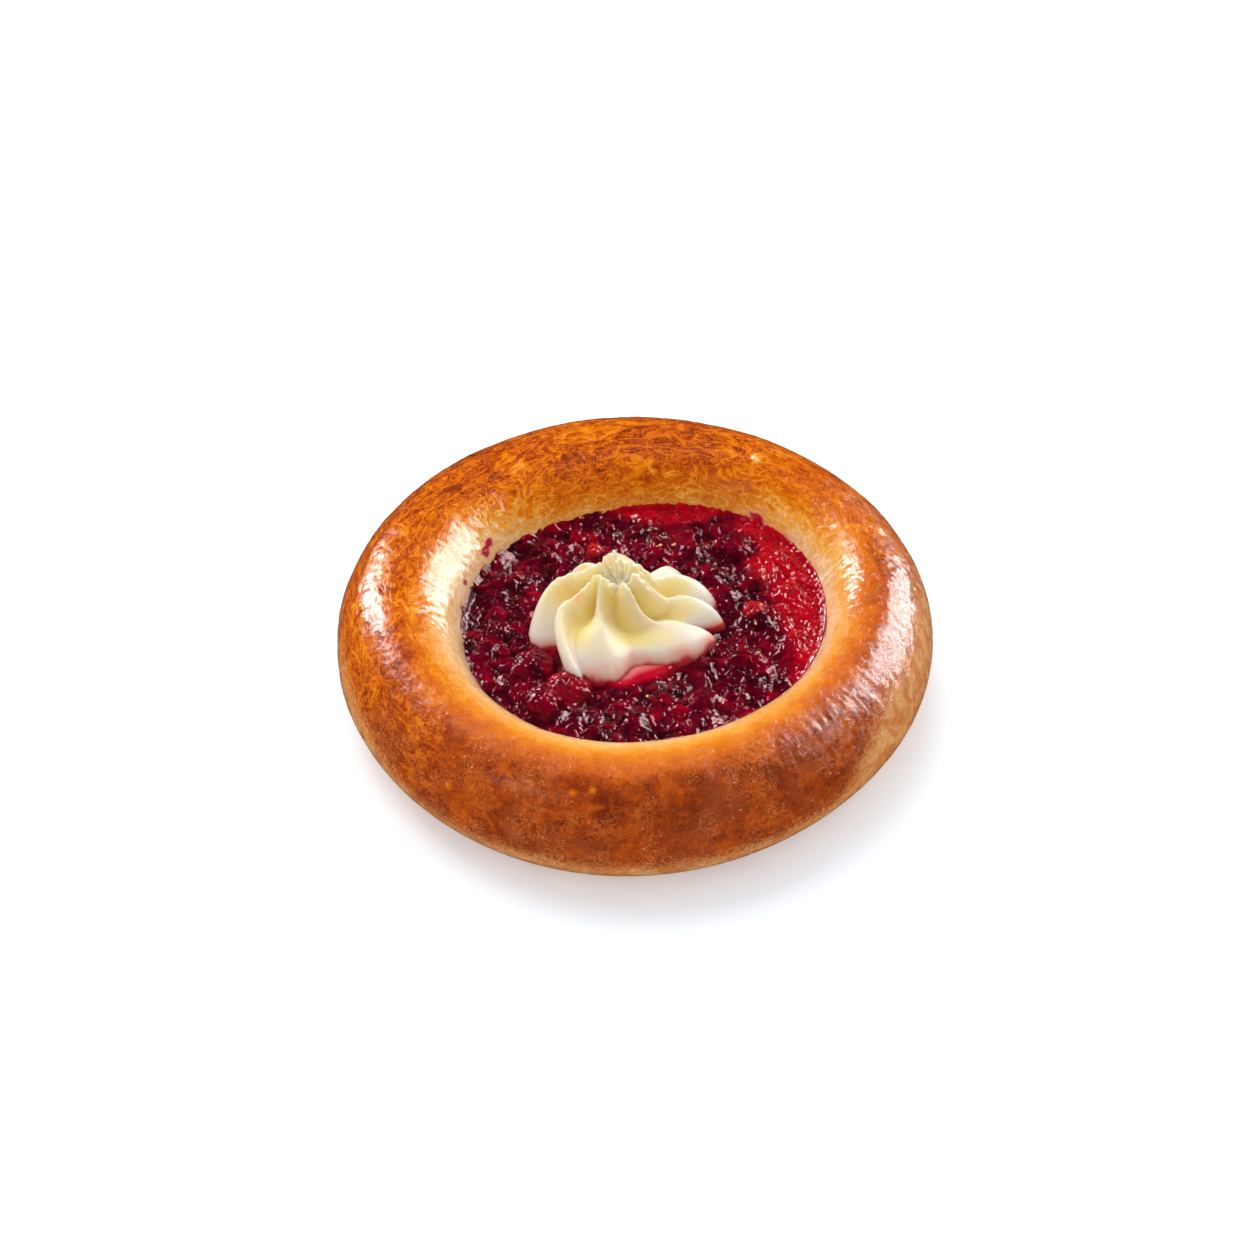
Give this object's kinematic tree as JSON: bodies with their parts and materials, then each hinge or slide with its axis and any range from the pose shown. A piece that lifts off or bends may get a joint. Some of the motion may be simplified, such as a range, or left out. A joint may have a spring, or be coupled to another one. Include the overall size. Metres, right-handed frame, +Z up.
{
  "type": "kolache",
  "caption": "Round open bun of baked sweet dough with a raised ring, a well of berry filling and a piped rosette of cream.",
  "frame": {"origin": "on the surface that the bun stands on, under the middle of its outline", "axes": "+Z up through the well; -Y is the side that faces the viewer; +X is to the viewer's right"},
  "size_m": [0.1114, 0.1136, 0.0301],
  "materials": {
    "crust": "egg-washed baked crust, golden brown, glossy on top and paler at the base and in the well",
    "berries": "stewed dark red berries in wet, clear red juice",
    "cream": "piped pale yellow cream, soft satin"
  },
  "bodies": {
    "root": {"dough_ring": "crust", "berry_filling": "berries", "cream_rosette": "cream"}
  },
  "joints": []
}
